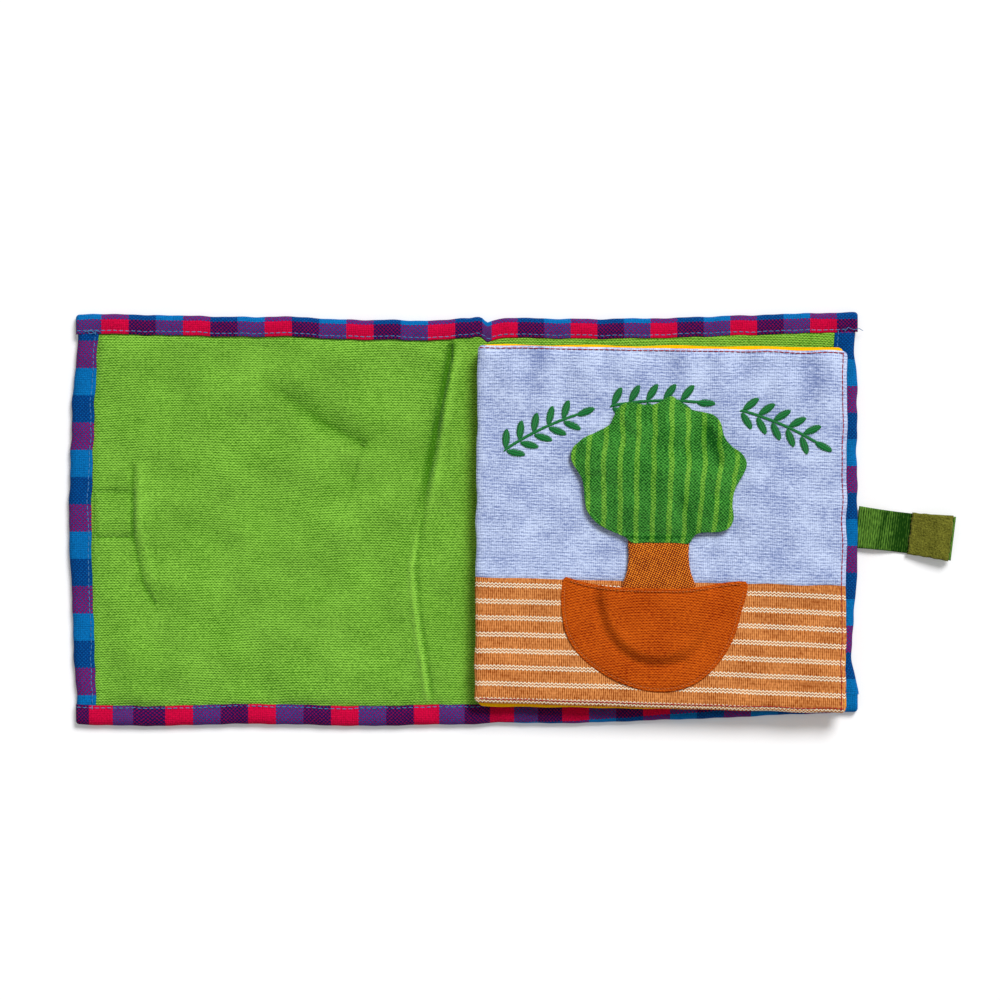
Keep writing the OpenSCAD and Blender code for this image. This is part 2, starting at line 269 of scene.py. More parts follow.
class Form:
    """A mesh in the making: grids of points in mm, each with cloth coordinates in mm."""

    def __init__(self):
        self.points = []
        self.cloth = []
        self.faces = []
        self.count = 0

    def grid(self, x, y, z, u, v, flip=False):
        """Adds a grid, which faces up where x runs along its rows and y up its columns."""
        x, y, z, u, v = np.broadcast_arrays(x, y, z, u, v)
        self.points.append(np.stack([x, y, z], -1).reshape(-1, 3))
        self.cloth.append(np.stack([u, v], -1).reshape(-1, 2))
        index = self.count + np.arange(x.size).reshape(x.shape)
        corners = [index[:-1, :-1], index[:-1, 1:], index[1:, 1:], index[1:, :-1]]
        self.faces.append(np.stack(corners[::-1] if flip else corners, -1).reshape(-1, 4))
        self.count += x.size
        return index

    def wall(self, upper, lower):
        """Closes the side between the rims of an upper and a lower grid."""
        def rim(k):
            return np.concatenate([k[0, :-1], k[:-1, -1], k[-1, :0:-1], k[:0:-1, 0]])
        a, b = rim(upper), rim(lower)
        self.faces.append(np.stack([b, np.roll(b, -1), np.roll(a, -1), a], -1))

    def layer(self, x, y, top, bottom, u, v):
        """A layer with a top, a bottom and a wall between their rims."""
        upper = self.grid(x, y, top, u, v)
        self.wall(upper, self.grid(x, y, bottom, u, v, flip=True))

    def make(self, name, paint):
        """The finished object, smooth, in metres, with its material."""
        mesh = bpy.data.meshes.new(name)
        mesh.from_pydata((np.concatenate(self.points) * MM).tolist(), [], np.concatenate(self.faces).tolist())
        corner = np.zeros(len(mesh.loops), int)
        mesh.loops.foreach_get("vertex_index", corner)
        cloth = mesh.uv_layers.new(name="cloth")
        cloth.data.foreach_set("uv", np.concatenate(self.cloth)[corner].ravel())
        mesh.polygons.foreach_set("use_smooth", np.ones(len(mesh.polygons), bool))
        mesh.materials.append(paint.material)
        made = bpy.data.objects.new(name, mesh)
        scene.collection.objects.link(made)
        return made


def colour(red, green, blue):
    """A linear colour from its values of 0 to 255 on the screen."""
    parts = [c / 255 for c in (red, green, blue)]
    return tuple(p / 12.92 if p < 0.04045 else ((p + 0.055) / 1.055) ** 2.4 for p in parts) + (1,)


class Cloth(Paint):
    """A paint on the piece's own cloth coordinates, u and v, in mm."""

    def __init__(self, name, roughness=0.95, sheen=0.0):
        super().__init__(name, roughness, sheen)
        place = self.node("ShaderNodeUVMap", {"uv_map": "cloth"})
        self.u = self.node("ShaderNodeSeparateXYZ", None, {0: place})
        self.v = self.u.tap(1)

    def noise(self, across, down, detail=2.0, lift=0.0):
        """Soft noise around 0.5, in spots of about across by down mm."""
        place = self.node("ShaderNodeCombineXYZ", None, {0: self.u / across, 1: self.v / down, 2: lift})
        return self.node("ShaderNodeTexNoise", None, {"Vector": place, "Scale": 1.0, "Detail": detail})

    def mottle(self, across, down, strength, detail=2.0):
        """The same noise around 0, of that strength."""
        return (self.noise(across, down, detail) - 0.5) * strength

    def ribs(self, along, pitch):
        """Ribs from 0 to 1, one each pitch mm along a coordinate."""
        return along.sine(pitch) * 0.5 + 0.5

    def painted_fold_shade(self):
        """Painted shade at a point, as stored with its mesh: the more, the darker the paint."""
        return self.node("ShaderNodeAttribute", {"attribute_name": "fold_shade"}, out="Fac")

    def mix(self, share, first, second, kind="MIX"):
        """A colour between two, by share."""
        settings = {"data_type": "RGBA", "blend_type": kind}
        return self.node("ShaderNodeMix", settings, {0: share, 6: first, 7: second}, 2)

    def dress(self, shade, height, depth):
        """Gives the surface its colour and, from the threads' height, its relief in mm."""
        self.feed("Base Color", shade)
        bump = self.node("ShaderNodeBump", None, {"Strength": 0.7, "Distance": depth * MM, "Height": height})
        self.feed("Normal", bump)


check_blue = colour(4, 126, 204)
check_red = colour(240, 0, 70)
check_navy = colour(0, 40, 112)

checked = Cloth("checked_cloth", roughness=0.85)


def check_stripe(along):
    """Red, navy and blue bands, each a square wide, along a coordinate."""
    band = (along / square).math("FLOORED_MODULO", 3.0)
    soft = checked.mottle(0.9, 0.9, 0.08, 1.0)
    past_red = checked.mix((band + soft) > 1.0, check_red, check_navy)
    return checked.mix((band + soft) > 2.0, past_red, check_blue)


warp_rib = checked.u.sine(2 * thread)
weft_rib = checked.v.sine(2 * thread)
speckle = checked.mottle(1.1, 1.0, 5.0, 1.0)
warp_up = (warp_rib * weft_rib * 3.5 + speckle + 0.78).clamped()
crossing = warp_rib.math("ABSOLUTE") * weft_rib.math("ABSOLUTE")
check_tone = checked.mottle(9, 9, 0.5) + checked.mottle(0.8, 1.2, 1.7) + crossing * 0.5 + 0.4
weft_stripe, warp_stripe = check_stripe(checked.v), check_stripe(checked.u)
both = checked.mix(1.0, weft_stripe, warp_stripe, "MULTIPLY")
both = checked.node("ShaderNodeGamma", None, {0: both, 1: 0.5})
both = checked.mix(0.2, both, (0, 0.01, 0.02, 1))
check_shade = checked.mix(0.28, both, checked.mix(warp_up, weft_stripe, warp_stripe))
check_dark = checked.mix(1.0, check_shade, (0.42, 0.42, 0.45, 1), "MULTIPLY")
checked.dress(checked.mix(check_tone, check_dark, check_shade), crossing + warp_up * 0.3, 0.25)

# A turned edge's section: distance in from its outer edge, and height.
roll = [(3.2, 0.1), (1.9, 0.0), (0.8, 0.35), (0.15, 1.2), (0, 2.2), (0.2, 3.3), (0.8, 4.2), (2, 4.85),
        (4, 5.15)]
lip = [(3.6, 5.1), (2.6, 4.95), (1.7, 4.75), (0.9, 4.9), (0.2, 4.8), (0, 4.4), (0.3, 3.9)]
roll_middle = 2.2
corner_r = 1.8
end_roll = 1.4
overlap = 1.5
top_ripple, bottom_ripple, side_ripple = (5, 15), (6, 17), (7, 16)


def turned_edge(form, line, inward, width, along, start, ends, tucked=0.0, seed=1):
    """A turned edge along a line, its cloth running on from start in mm at the roll, rounded
    off at those ends that are True, and lower by tucked mm where it runs under another."""
    width = np.broadcast_to(width, along.shape)[None, :]
    z = np.array([p[1] for p in roll + lip])
    outer = np.array([p[0] for p in roll])[:, None] + 0 * width
    d = np.concatenate([outer, width - np.array([p[0] for p in lip])[:, None]])
    run = np.concatenate([0 * width, np.cumsum(np.hypot(np.diff(d, axis=0), np.diff(z)[:, None]), axis=0)])
    run = run - run[4]
    length = run_along(line)
    left = np.where(ends[0], length, 1e3)
    right = np.where(ends[1], length[-1] - length, 1e3)
    to_end = np.minimum(left, right)[None, :]
    bend = np.clip(to_end, 0, corner_r)
    pull = corner_r - np.sqrt(corner_r**2 - (corner_r - bend) ** 2)
    inset = d + pull * np.clip(1 - d / width, 0, 1)
    shut = edge_round(to_end, end_roll)
    x = line[None, :, 0] + inward[0] * inset
    y = line[None, :, 1] + inward[1] * inset
    under = np.clip(1 - np.minimum(length, length[-1] - length) / (2 * overlap), 0, 1)[None, :] * tucked
    puff = np.clip((z[:, None] - 3.5) / 1.5, 0, 1) * 0.14 * waves(x, y, seed, 14)
    under = under * np.clip(z[:, None] / 3, 0, 1)
    high = roll_middle + (z[:, None] + puff - under - roll_middle) * shut
    faces_up = inward[0] * (line[-1, 1] - line[0, 1]) - inward[1] * (line[-1, 0] - line[0, 0]) > 0
    form.grid(x, y, high, along[None, :], run + start[None, :], flip=not faces_up)


def stations(first, last, ends):
    """Places along an edge about 1.3 mm apart, close together at the rounded ends."""
    close = np.array([0, 0.06, 0.2, 0.45, 0.8, 1.3, 1.9, 2.6, 3.4])
    low = first + close if ends[0] else np.array([first])
    high = (last - close)[::-1] if ends[1] else np.array([last])
    between = np.linspace(low[-1], high[0], int((high[0] - low[-1]) / 1.3))[1:-1]
    return np.concatenate([low, between, high])


def outer_cloth(name, x0, x1, side_x, side_line, side_width, top_u, bottom_u, side_u):
    """One half of the outer cloth, from x0 to x1, with its side edge at side_x."""
    form = Form()
    ends = (side_x == x0, side_x == x1)
    xs = stations(x0, x1, ends)
    top = np.stack([xs, rippled(xs, top_line, *top_ripple)], -1)
    blue_row = np.interp(xs, [-200, 0, 165, 190], [4.3, 3.7, 4.2, 5.2])
    turned_edge(form, top, (0, -1), hem_w, top_u(xs), -blue_row, ends, seed=3)
    bottom = np.stack([xs, rippled(xs, bottom_line, *bottom_ripple)], -1)
    blue_row = np.interp(xs, [-5, 18, 88, 143, 175, 192], [-1.5, 1.5, 4, 6, 10, 12])
    turned_edge(form, bottom, (0, 1), hem_w, bottom_u(xs), -blue_row, ends, seed=4)
    low = through(side_x, bottom_line) + hem_w - overlap
    high = through(side_x, top_line) - hem_w + overlap
    ys = stations(low, high, (False, False))
    side = np.stack([rippled(ys, side_line, *side_ripple), ys], -1)
    facing = 1 if ends[0] else -1
    start = 0 * ys + 0.6 - square
    turned_edge(form, side, (facing, 0), side_width(ys), side_u(ys), start, (False, False), 0.55, 8)
    s, t = np.meshgrid(spread(x0, x1, 3.0), spread(-100, 100, 3.0))
    x = x0 + (x1 - x0) * s
    low, high = through(x, bottom_line), through(x, top_line)
    y = low + 1 + (high - low - 2) * t
    edge = through(y, side_line) + facing
    x = edge + (x1 - edge) * s if ends[0] else x0 + (edge - x0) * s
    rim = np.minimum(y - through(x, bottom_line), through(x, top_line) - y)
    rim = np.minimum(rim, facing * (x - edge) + 1)
    billow = 0.16 * np.maximum(1 + waves(x, y, 9, 45), 0.2) * np.clip(rim / 8, 0, 1)
    lift = 0.35 * np.clip(2 - rim, 0, 1) + billow
    patch = np.clip(12.5 - np.maximum(abs(x - hook_middle[0]), abs(y - hook_middle[1])), 0, 1)
    form.grid(x, y, lift * (1 - patch) + 0.5 * patch, x, y, flip=True)
    return form.make(name, checked)


hook_size = 20
hook_low, hook_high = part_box("front_hook_patch")
hook_middle = ((hook_low.x + hook_high.x) / 2 / MM, (hook_low.y + hook_high.y) / 2 / MM)


def top_colour(x):
    return np.interp(x, [-200, 4.75, 6.5, 8.75, 192], [-1.05, 14.02, 14.4, 15, 28.8]) * square


bottom_bands = [-202, -191.9, -180, -170, -153.75, -29.75, 8.25, 44.25, 165.5, 192]
bottom_counts = [-4.8, -4, -3, -2, -1, 8, 11, 14, 23, 25]


def bottom_colour(x):
    return -np.interp(x, bottom_bands, bottom_counts) * square


def front_side_colour(y):
    return (y - 35.6) / 13.61 * square


def back_side_colour(y):
    return (94 - y) / 13.3 * square + square


def front_hem_width(y):
    return through(y, front_inner) - through(y, front_line)


def back_hem_width(y):
    return 0 * y + 10.4


cloth_left = outer_cloth("outer_cloth_left", left_edge_x, split_x, left_edge_x, front_line, front_hem_width,
                         top_colour, bottom_colour, front_side_colour)
cloth_right = outer_cloth("outer_cloth_right", split_x, back_x, back_x, back_line, back_hem_width,
                          top_colour, bottom_colour, back_side_colour)
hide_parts("front_cover_outer", "spine_outer")
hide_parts("back_cover_outer")

# Topstitching of the turned edges: light blue thread in one row near their inner edge,
# through all layers. The same node tree lays every other row of thread on the book.
stitches = bpy.data.node_groups.new("stitches", "GeometryNodeTree")
laid = Graph(stitches)
row_inputs = {"Row": "Geometry", "Pitch": "Float", "Length": "Float", "Width": "Float", "Height": "Float",
              "Turn": "Float", "Taper": "Float", "Wobble": "Float", "Seed": "Int", "Material": "Material"}
for input_name, kind in row_inputs.items():
    stitches.interface.new_socket(input_name, in_out="INPUT", socket_type="NodeSocket" + kind)
stitches.interface.new_socket("Stitches", in_out="OUTPUT", socket_type="NodeSocketGeometry")
given = laid.node("NodeGroupInput")
steps = laid.node("GeometryNodeMeshToCurve", None, {"Mesh": given.tap("Row")})
paced = {"Curve": steps, "Length": given.tap("Pitch")}
steps = laid.node("GeometryNodeResampleCurve", {"mode": "LENGTH"}, paced)
share = laid.node("GeometryNodeSplineParameter")
swell = ((share * (1 - share)) * 4.0 + 0.12).math("POWER", 0.55)
profile = given.tap("Taper") * (swell - 1) + 1
wobble = given.tap("Wobble")
loose = laid.node("FunctionNodeRandomValue", None, {2: wobble * -1, 3: wobble, 8: given.tap("Seed")}, 1)
tangent = laid.node("GeometryNodeInputTangent")
along = laid.node("FunctionNodeAlignRotationToVector", {"axis": "X", "pivot_axis": "Z"}, {"Vector": tangent})
spin = laid.node("FunctionNodeAxisAngleToRotation", None, {"Angle": given.tap("Turn") + loose})
twist = {"Rotation": along, "Rotate By": spin}
turned = laid.node("FunctionNodeRotateRotation", {"rotation_space": "LOCAL"}, twist)
sizes = {0: given.tap("Length") * profile * 0.5, 1: given.tap("Width") * 0.5, 2: given.tap("Height") * 0.5}
size = laid.node("ShaderNodeCombineXYZ", None, sizes)
strand = laid.node("GeometryNodeMeshUVSphere", None, {"Segments": 6, "Rings": 5, "Radius": 1.0})
named = {"Geometry": strand, "Name": "cloth", "Value": strand.tap("UV Map")}
strand = laid.node("GeometryNodeStoreNamedAttribute", {"data_type": "FLOAT2", "domain": "CORNER"}, named)
strand = laid.node("GeometryNodeTransform", None, {"Geometry": strand, "Rotation": (0, math.pi / 2, 0)})
lay = {"Points": steps, "Instance": strand, "Rotation": turned, "Scale": size}
laid_out = laid.node("GeometryNodeInstanceOnPoints", None, lay)
laid_out = laid.node("GeometryNodeRealizeInstances", None, {"Geometry": laid_out})
laid_out = laid.node("GeometryNodeSetShadeSmooth", None, {"Geometry": laid_out})
dyed = {"Geometry": laid_out, "Material": given.tap("Material")}
laid_out = laid.node("GeometryNodeSetMaterial", None, dyed)
laid.node("NodeGroupOutput", None, {"Stitches": laid_out})


def stitch(name, rows, paint, slot, pitch, length, width, height, turn=0.0, taper=0.0, wobble=4.0):
    """Thread laid along rows of points in mm, as one plain mesh. Angles are in degrees."""
    points, edges = [], []
    for row in rows:
        edges += [(i, i + 1) for i in range(len(points), len(points) + len(row) - 1)]
        points += (np.array(row) * MM).tolist()
    mesh = bpy.data.meshes.new(name + "_rows")
    mesh.from_pydata(points, edges, [])
    holder = bpy.data.objects.new(name + "_rows", mesh)
    scene.collection.objects.link(holder)
    laying = holder.modifiers.new("stitches", "NODES")
    laying.node_group = stitches
    wanted = {"Pitch": pitch * MM, "Length": length * MM, "Width": width * MM, "Height": height * MM,
              "Turn": math.radians(turn), "Taper": taper, "Wobble": math.radians(wobble), "Seed": len(points),
              "Material": paint.material}
    for socket in stitches.interface.items_tree:
        if socket.name in wanted:
            laying[socket.identifier] = wanted[socket.name]
    seen_by = bpy.context.evaluated_depsgraph_get()
    made = bpy.data.objects.new(name, bpy.data.meshes.new_from_object(holder.evaluated_get(seen_by)))
    bpy.data.objects.remove(holder)
    scene.collection.objects.link(made)
    return made


def thread_paint(name, dark, bright, shine=0.2):
    """A two-ply thread: slanting plies along each strand, u round it and v along it."""
    paint = Cloth(name, roughness=0.6)
    paint.surface.inputs["Specular IOR Level"].default_value = shine
    plies = paint.ribs(paint.v * 5 + paint.u, 1)
    paint.dress(paint.mix(plies * 0.6 + paint.noise(0.2, 0.3) * 0.4, dark, bright), plies, 0.08)
    return paint


blue_thread = thread_paint("blue_thread", colour(20, 70, 130), colour(96, 160, 210))
stitch_in = 1.75
stitch_z = 4.84
topstitch = (3.0, 2.5, 0.5, 0.5)
curl = (0.55, 0.9, 0.36, 0.36)


def hem_rows(x0, x1, side_line, side_width, facing):
    """The rows round one half's turned edges, from x0 to x1 along the top and the bottom."""
    x = np.linspace(x0, x1 if facing > 0 else x1 - 6, 150)
    top = rippled(x, top_line, *top_ripple) - hem_w + stitch_in
    bottom = rippled(x, bottom_line, *bottom_ripple) + hem_w - stitch_in * 0.7
    y = np.linspace(-93, 94, 150)
    side = rippled(y, side_line, *side_ripple) + facing * (side_width(y) - stitch_in)
    rows = [(x, top + 0.2 * waves(x, 0 * x, 11, 60)), (x, bottom + 0.2 * waves(x, 0 * x, 12, 50))]
    rows = rows + [(side + 0.2 * waves(y, 0 * y, 13, 55), y)]
    return [np.stack([a, b, 0 * a + stitch_z], -1) for a, b in rows]


loose_end = [(185.5, 94.9, 5.4), (187, 96.6, 5.8), (190, 95.4, 5.9), (192.5, 96.2, 5.0), (194.2, 95.2, 4.2)]
tangle = [(-194, 94.4, 5.4), (-191, 95.2, 5.6), (-189, 93.8, 5.7), (-191.5, 93.4, 5.6), (-192.6, 94.8, 5.5),
          (-188, 94.9, 5.5), (-186.4, 94.3, 5.2)]
left_rows = hem_rows(front_x + 5, split_x - 0.3, front_line, front_hem_width, 1)
right_rows = hem_rows(split_x + 0.3, back_x - 1.2, back_line, back_hem_width, -1)
topstitch_left = stitch("topstitch_left", left_rows, blue_thread, "checked_cotton", *topstitch)
topstitch_right = stitch("topstitch_right", right_rows, blue_thread, "checked_cotton", *topstitch)
tangled = stitch("thread_tangle", [tangle], blue_thread, "checked_cotton", *curl, wobble=0)
loose_thread = stitch("loose_thread", [loose_end], blue_thread, "checked_cotton", *curl, wobble=0)
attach(tangled, "front_cover")
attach(loose_thread, "back_cover")

# Wadding: a soft white layer in each cover, and
# the green lining laid over it. The lining lies under the turned edges and is drawn
# down along them; the front one is rumpled where the book has been folded.
lining_z = 4.05
cover_fill = 0.75
under_leaves_z = 4.45
seam_middle = (-179.5, 3.5)
seam_half_x, seam_half_y = 9.5, 11.2


def near(x, y, path, width):
    """1 on a line through the path's points, falling off softly over the width in mm."""
    least = np.full(np.shape(x + y), 1e9)
    for (ax, ay), (bx, by) in zip(path, path[1:]):
        dx, dy = bx - ax, by - ay
        t = np.clip(((x - ax) * dx + (y - ay) * dy) / (dx * dx + dy * dy), 0, 1)
        least = np.minimum(least, np.hypot(x - ax - t * dx, y - ay - t * dy))
    return np.exp(-((least / width) ** 2))


def lining_height(x, y, edge_x):
    """Height of the lining's face in mm, between the turned edges."""
    inset = np.minimum(through(x, top_line) - hem_w - y, y - through(x, bottom_line) - hem_w)
    front_inset = x - through(y, front_inner)
    inset = np.minimum(inset, np.where(x < split_x, front_inset, edge_x - side_w - x))
    full = 1 - np.exp(-np.clip(inset, 0, 99) / 4.5)
    rumple = full * (0.85 * waves(x, y, 21, 56) + 0.42 * waves(x, y, 22, 27))
    return lining_z + cover_fill * full, rumple, inset


def lining_folds(x, y):
    """Depth in mm of the front lining's folds: creases are above 0 and ridges below."""
    fold = [(-11, 87), (-17, 55), (-24, 17), (-28, -3), (-31, -25), (-28, -55), (-23, -88)]
    beside = [(px + 4.2, py) for px, py in fold]
    right_of = [(px + 2.3, py) for px, py in fold]
    upper = 1 / (1 + np.exp(-(y - 5) / 9))
    depth = upper * (2.2 * near(x, y, fold, 2.0) + 0.4 * near(x, y, fold, 7) - 0.9 * near(x, y, beside, 2.4))
    depth = depth + (1 - upper) * (0.9 * near(x, y, right_of, 1.3) - 1.5 * near(x, y, fold, 1.5))
    pulls = [(-105, 69), (-98, 66), (-75, 49), (-55, 39)]
    pulled = 0.45 * near(x, y, pulls, 1.6) + 1.0 * near(x, y, pulls, 6.5) - 0.4 * near(x, y + 8, pulls, 5)
    depth = depth + pulled * np.clip((x + 110) / 34, 0, 1)
    depth = depth + 0.5 * near(x, y, [(-55, 39), (-64, 5)], 1.3)
    depth = depth + 1.05 * near(x, y, [(-170, 27), (-170.3, 14), (-170, -8), (-165, -31), (-159.5, -41)], 0.9)
    depth = depth - 0.5 * near(x, y, [(-166, 27), (-166.5, 14), (-166, -6), (-160, -28)], 2)
    square_x, square_y = abs(x - seam_middle[0]) / seam_half_x, abs(y - seam_middle[1]) / seam_half_y
    return depth + 0.8 * np.exp(-((np.maximum(square_x, square_y) - 1) * 10 / 1.1) ** 2)


def lining_front(x, y):
    z, rumple, inset = lining_height(x, y, left_edge_x)
    full = np.clip(inset / 6, 0, 1)
    puckers = 0.4 * np.sin(x / 7.2 + 0.7 * np.sin(x / 19)) * np.exp(-np.clip(inset, 0, 99) / 14)
    z = z - full * lining_folds(x, y) + rumple + full * puckers - 0.5 * np.exp(-((inset / 1.3) ** 2))
    turned_leaves = 4.65 + 0.19 * np.clip(-9 - x, 0, 99)
    return np.clip(z, lining_z - 1.75, turned_leaves)


def lining_back(x, y):
    z, rumple, inset = lining_height(x, y, back_x)
    under_leaves = np.clip((x + 2) / 3, 0, 1) * np.clip((inset + 2) / 3, 0, 1)
    shared = lining_front(x, y)
    left_z = np.where(inset < 0, lining_z - 0.15, shared)
    return left_z * (1 - under_leaves) + (under_leaves_z + 0.1 * rumple) * under_leaves


lining_cloth = Cloth("green_cotton_cloth", sheen=0.2)
wander = lining_cloth.mottle(14, 6, 0.9)
rows = lining_cloth.ribs(lining_cloth.v + wander, 1.24)
dots = lining_cloth.u.sine(1.6) * (lining_cloth.v * (math.pi / 0.8) + wander).math("SINE")
thread_height = rows * 0.56 + dots * 0.36 + lining_cloth.mottle(1.5, 0.6, 1.45) + 0.2
patchy = lining_cloth.mottle(26, 22, 0.5) + lining_cloth.mottle(5, 3, 0.4)
# Painted shade: the lining is darker along its folds and creases, as stored with its mesh.
lining_tone = thread_height + patchy - lining_cloth.painted_fold_shade() * 0.3
lining_shade = lining_cloth.mix(lining_tone, colour(54, 112, 0), colour(148, 210, 74))
lining_cloth.dress(lining_shade, thread_height, 0.3)


def paint_fold_shade(piece, depth):
    """Stores a painted shade for each point, such as how deep in a crease it lies; the paint is darker there.
    """
    fold_shade = piece.data.attributes.new("fold_shade", "FLOAT", "POINT")
    fold_shade.data.foreach_set("value", depth.ravel())


def lining_sheet(name, x0, x1, side_line, side, height):
    """One half of the lining, reaching 2.5 mm under the turned edges."""
    under = 2.5
    s, t = np.meshgrid(spread(x0, x1, 1.1, 0.1), spread(-92, 92, 1.1, 0.1))
    x = x0 + (x1 - x0) * s
    low = through(x, bottom_line) + hem_w - under
    y = low + (through(x, top_line) - hem_w + under - low) * t
    edge = through(y, side_line) + side * (side_w - under)
    x = edge + (x1 - edge) * s if side > 0 else x0 + (edge - x0) * s
    form = Form()
    form.grid(x, y, height(x, y), x + 0.8 * waves(x, y, 31, 90), y + 0.8 * waves(x, y, 32, 90))
    made = form.make(name, lining_cloth)
    # Painted shade along the lining's folds, stored for its paint to darken it there.
    paint_fold_shade(made, lining_folds(x, y).clip(-1, 2))
    return made


lining_left = lining_sheet("lining_left", front_x + side_w, split_x, front_line, 1, lining_front)
lining_right = lining_sheet("lining_right", split_x, back_x - side_w, back_line, -1, lining_back)
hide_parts("front_cover_lining", "spine_lining")
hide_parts("back_cover_lining")

wadding_cloth = Cloth("white_wadding", roughness=1.0, sheen=0.3)
fluff = wadding_cloth.noise(1.5, 1.5, 4.0) + wadding_cloth.noise(12, 12) * 0.4 - 0.2
wadding_cloth.dress(wadding_cloth.mix(fluff, colour(214, 211, 203), colour(250, 249, 245)), fluff, 0.5)


def wadding_layer(name, x0, x1):
    """One cover's wadding, between the outer cloth and the lining."""
    inside, low_z = 3, 1.7
    s, t = np.meshgrid(spread(x0, x1, 4), spread(-98, 98, 4))
    x = x0 + (x1 - x0) * s
    low = through(x, bottom_line) + inside
    y = low + (through(x, top_line) - inside - low) * t
    top = lining_z - 2.1 + 0.12 * waves(x, y, 36, 20)
    thin = np.clip(np.minimum(np.minimum(x - front_x - 6, back_x - 3 - x), 4) / 4, 0, 1)
    thin = thin * np.clip(np.minimum(t, 1 - t) * 48, 0, 1)
    thin = 0.3 + 0.7 * thin
    form = Form()
    form.layer(x, y, low_z + (top - low_z) * thin, low_z - 0.95 * thin, x, y)
    return form.make(name, wadding_cloth)


wadding_left = wadding_layer("wadding_left", front_x + 7, split_x)
wadding_right = wadding_layer("wadding_right", split_x, back_x - 4)
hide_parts("front_cover_wadding", "spine_wadding")
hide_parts("back_cover_wadding")

# Hook patch: the stiff dark mate of the strap's loop patch, sewn on outside the front
# cover. A block of fine hooks on a thin woven base.
hooks = Cloth("hook_tape", roughness=0.7, sheen=0.0)
hook_dots = hooks.ribs(hooks.u, 1.3) * hooks.ribs(hooks.v, 1.1)
hook_tone = hook_dots + hooks.noise(1, 1) * 0.3
hooks.dress(hooks.mix(hook_tone, colour(48, 50, 20), colour(112, 114, 52)), hook_dots, 0.5)
hook_form = Form()
s, t = np.meshgrid(spread(0, hook_size, 0.8), spread(0, hook_size, 0.8))
hook_x = hook_middle[0] + (s - 0.5) * hook_size
hook_y = hook_middle[1] + (t - 0.5) * hook_size
hook_rim = np.minimum(np.minimum(s, 1 - s), np.minimum(t, 1 - t)) * hook_size
hook_under = 0.32 - 0.3 * np.clip(hook_rim / 0.8, 0, 1)
hook_form.layer(hook_x, hook_y, 0.42 + 0 * s, hook_under, hook_x, hook_y)
hook_patch = hook_form.make("hook_patch", hooks)
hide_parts("front_hook_patch")
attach(hook_patch, "front_cover")


def square_rows(middle, half_x, half_y, height, sag=0.0):
    """Four rows round a sewn square, at the height that the function gives."""
    way = np.linspace(-1, 1, 24)
    bow = sag * (1 - way * way)
    sides = [(way * half_x, half_y - bow), (half_x - bow, way * half_y), (way * half_x, bow - half_y),
             (bow - half_x, way * half_y)]
    rows = []
    for a, b in sides:
        x, y = middle[0] + a, middle[1] + b
        rows.append(np.stack([x, y, height(x, y)], -1))
    return rows


green_thread = thread_paint("green_thread", colour(70, 130, 24), colour(160, 214, 90))
seam_rows = square_rows(seam_middle, seam_half_x, seam_half_y, lambda x, y: lining_front(x, y) + 0.08, 0.3)
seam_rows.append([(-55.6, 38.6, 5.0), (-54.6, 38.2, 5.0)])
square_seam = stitch("square_seam", seam_rows, green_thread, "green_cotton", 2.6, 2.1, 0.45, 0.45)
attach(square_seam, "front_cover")
outside = square_rows(hook_middle, 9.0, 9.0, lambda x, y: 0 * x + 0.12)
patch_seam = stitch("patch_seam", outside, green_thread, "hook_tape", 2.6, 2.1, 0.45, 0.4)
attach(patch_seam, "front_cover")

# Closing strap: cross-ribbed green ribbon sewn into the back cover's edge. It leaves the
# edge level, dips to the table and rises a little again under the fuzzy loop patch that
# is sewn on its end.
strap_y = -3
strap_w = 20
strap_t = 1.2
strap_l = 48
strap_turn = math.radians(7)
strap_root_z = 1.65
strap_tuck = 0.6
patch_l = 21
patch_t = 1.6
strap_line = [(-1, 1), (0, 1), (4.8, 1.5), (9.6, 1.5), (15.4, 0.9), (20, 0.25), (24, 0.1), (27, 0.4),
              (33.6, 1.3), (40.8, 2.0), (48, 2.2)]

ribbon = Cloth("strap_ribbon", roughness=0.7, sheen=0.05)
cross_ribs = ribbon.ribs(ribbon.u + ribbon.mottle(3, 9, 0.35), 1.15)
# Painted shade: the ribbon is darker in the valley before the loop patch, where the patch's shadow falls, and
# along a fold line.
valley_shade = (ribbon.u - 23) / 7
fold = (ribbon.u - 12 - ribbon.v * 0.1) / 1.6
rib_tone = cross_ribs * 0.4 + ribbon.mottle(0.8, 2.2, 1.1, 1.0) + ribbon.mottle(9, 7, 0.5) + 0.14
for dark, strength in [(valley_shade, 0.5), (fold, 0.3)]:
    rib_tone = rib_tone - (dark * dark * -1).math("EXPONENT") * strength
ribbon.dress(ribbon.mix(rib_tone + 0.05, colour(14, 58, 0), colour(118, 170, 62)), cross_ribs, 0.4)

fuzz = Cloth("loop_tape", roughness=1.0, sheen=0.1)
loops = fuzz.noise(0.9, 0.9, 3.0) * 1.6 - 0.3 + fuzz.mottle(5, 5, 0.8)
fuzz.dress(fuzz.mix(loops, colour(52, 54, 0), colour(134, 134, 48)), loops, 0.8)


